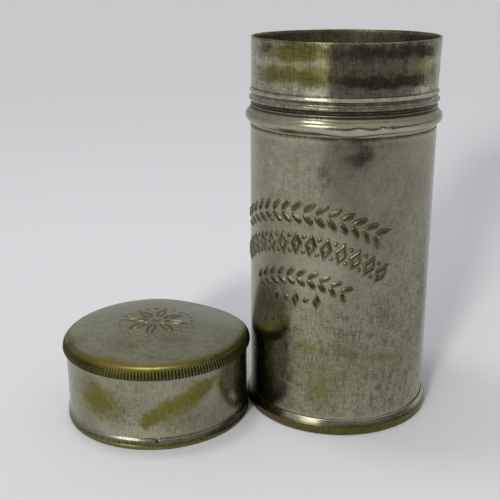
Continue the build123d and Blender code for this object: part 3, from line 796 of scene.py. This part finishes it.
def bright_foil():
    """Tin foil, darker in its folds."""
    p = Paint("tin_foil", metallic=1.0)
    folds = p.noise((0.7, 0.7, 0.7), 4, 0.6, 0.8)
    cloud = p.noise((0.2, 0.2, 0.2), 3)
    colour = p.mix(p.step(cloud, 0.35, 0.65), (0.42, 0.42, 0.40), (0.62, 0.62, 0.60))
    p.set("Base Color", p.mix(p.times(p.mark("dark"), 0.6), colour, (0.13, 0.12, 0.10)))
    p.set("Roughness", p.step(folds, 0.3, 0.7, 0.22, 0.4))
    p.bump(p.math("ABSOLUTE", p.math("SUBTRACT", folds, 0.5)), 0.25)
    return p.material


def grey_solder():
    p = Paint("grey_solder", metallic=1.0)
    lumps = p.noise((0.8, 0.8, 0.8), 3)
    p.set("Base Color", p.mix(p.step(lumps, 0.35, 0.65), (0.16, 0.155, 0.14), (0.30, 0.29, 0.27)))
    p.set("Roughness", p.step(lumps, 0.3, 0.7, 0.38, 0.55))
    p.bump(lumps, 0.15)
    return p.material


NICKEL, TARNISH, BRASS = (0.350, 0.340, 0.246), (0.258, 0.249, 0.168), (0.200, 0.176, 0.043)
NECK_NICKEL, NECK_TARNISH = (0.42, 0.41, 0.30), (0.31, 0.30, 0.205)
CROWN_NICKEL, CROWN_TARNISH, CROWN_BRASS = (0.336, 0.329, 0.221), (0.267, 0.261, 0.161), (0.235, 0.207, 0.048)
BASE_BRASS = (0.165, 0.145, 0.052)
body_finish = plating("worn_nickel_body", NICKEL, TARNISH, BRASS, rough=0.27, scratch=1.5, wear=1.1)
neck_finish = plating("worn_nickel_neck", NECK_NICKEL, NECK_TARNISH, BRASS, rough=0.25, scratch=1.9, wear=0.7,
                      hatched=0.44, hatch_scale=0.5)
skirt_finish = plating("worn_nickel_skirt", NICKEL, TARNISH, BRASS, rough=0.27, scratch=1.5, wear=1.6)
crown_finish = plating("worn_nickel_crown", CROWN_NICKEL, CROWN_TARNISH, CROWN_BRASS,
                       rough=0.32, scratch=0.6, wear=1.1)
base_finish = plating("worn_brass_base", NICKEL, TARNISH, BASE_BRASS, rough=0.26, scratch=0.5, wear=0.4)
place(tube_body, "tube", "nickel_body", body_finish, "body_shell")
place(neck, "tube", "nickel_neck", neck_finish, "neck_sleeve")
place(base, "tube", "brass_base", base_finish, "base_disc")
place(skirt, "cap", "nickel_cap", skirt_finish, "cap_skirt")
place(crown, "cap", "nickel_crown", crown_finish, "cap_crown")
place(stick, "stick", "soap", soap(), "shaving_stick")
place(foil, "stick", "foil", bright_foil(), "stick_foil")
solder = grey_solder()
for node in ("base_solder", "neck_solder"):
    for material_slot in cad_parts[node].material_slots:
        material_slot.material = solder


# ---- floor, light and camera, in metres ----
def link(name, data):
    """A new object in the scene."""
    thing = bpy.data.objects.new(name, data)
    bpy.context.scene.collection.objects.link(thing)
    return thing


def looking(right, above, ahead, at):
    """The matrix of a light or camera that looks ahead from a place in mm."""
    return Matrix([[right[i], above[i], -ahead[i], at[i] / MM] for i in range(3)] + [[0, 0, 0, 1]])


def unit(vector):
    return vector / np.linalg.norm(vector)


FLOOR = 9.0
floor_mesh = bpy.data.meshes.new("floor")
floor_mesh.from_pydata([(-FLOOR, -FLOOR, 0), (FLOOR, -FLOOR, 0), (FLOOR, FLOOR, 0), (-FLOOR, FLOOR, 0)], [],
                       [(0, 1, 2, 3)])
floor = link("floor", floor_mesh)
paper = Paint("pale_paper")
paper.set("Base Color", (0.735, 0.742, 0.762, 1.0))
paper.set("Roughness", 0.75)
paper.set("Specular IOR Level", 0.15)
floor_mesh.materials.append(paper.material)

world = bpy.data.worlds.new("studio")
world.use_nodes = True
bpy.context.scene.world = world
background = world.node_tree.nodes["Background"]
background.inputs["Color"].default_value = (0.97, 0.98, 1.0, 1.0)
background.inputs["Strength"].default_value = 0.49
bpy.context.scene.view_settings.view_transform = "Standard"


def soft_light(name, at, aim, size, watts):
    """A square soft light, with its place, aim and size in mm."""
    data = bpy.data.lights.new(name, "AREA")
    data.shape, data.size, data.energy = "SQUARE", size / MM, watts
    ahead = unit(np.subtract(aim, at))
    side = unit(np.cross(ahead, (0.0, 0.0, 1.0)))
    link(name, data).matrix_world = looking(side, np.cross(side, ahead), ahead, at)


def far_light(name, azimuth, height, strength, spread, in_metal, tint=(1.0, 1.0, 1.0)):
    """A distant light, angles in degrees. in_metal says whether the metal's reflections show it."""
    data = bpy.data.lights.new(name, "SUN")
    data.energy, data.angle, data.color = strength, math.radians(spread), tint
    azimuth, height = math.radians(azimuth), math.radians(height)
    towards = Vector((math.cos(azimuth) * math.cos(height), math.sin(azimuth) * math.cos(height),
                      math.sin(height)))
    lamp = link(name, data)
    lamp.rotation_euler = towards.to_track_quat("Z", "Y").to_euler()
    lamp.visible_glossy = in_metal


soft_light("overhead", (-75, 25, 330), (-15, 0, 40), 60, 0.18)
far_light("key", -125, 28, 0.5, 30, True)
far_light("shade", -112, 13, 3.4, 9, False, (1.0, 0.98, 0.94))

# a dark studio card in front and to the right: it shows only in the metal's reflections
CARD_LINE = [(-0.108, -0.255), (0.165, -0.250), (0.330, -0.130), (0.620, 0.060), (0.600, 0.300)]
CARD_HEIGHT = 0.11
corners = len(CARD_LINE)
card_mesh = bpy.data.meshes.new("black_card")
card_mesh.from_pydata([(x, y, z) for z in (0.0, CARD_HEIGHT) for x, y in CARD_LINE], [],
                      [(i, i + 1, i + 1 + corners, i + corners) for i in range(corners - 1)])
card = link("black_card", card_mesh)
black = Paint("black_card")
black.set("Base Color", (0.16, 0.15, 0.13, 1.0))
black.set("Roughness", 0.9)
card_mesh.materials.append(black.material)
card.visible_camera = card.visible_diffuse = card.visible_shadow = False

# the photo's camera: angles in radians, place in mm, focal length as a share of the picture's width
YAW, PITCH, ROLL = -0.01896, 0.31422, -0.00401
CAMERA_AT = (-15.00, -168.90, 86.96)
FOCAL_SHARE = 866.63 / 500
SENSOR = 36.0
ahead = np.array([math.sin(YAW) * math.cos(PITCH), math.cos(YAW) * math.cos(PITCH), -math.sin(PITCH)])
level_right = np.array([math.cos(YAW), -math.sin(YAW), 0.0])
level_up = np.cross(level_right, ahead)
right = math.cos(ROLL) * level_right + math.sin(ROLL) * level_up
above = math.cos(ROLL) * level_up - math.sin(ROLL) * level_right
lens = bpy.data.cameras.new("camera")
lens.sensor_width = SENSOR
lens.lens = SENSOR * FOCAL_SHARE
lens.clip_start, lens.clip_end = 0.01, 60.0
camera = link("camera", lens)
camera.matrix_world = looking(right, above, ahead, CAMERA_AT)
bpy.context.scene.camera = camera
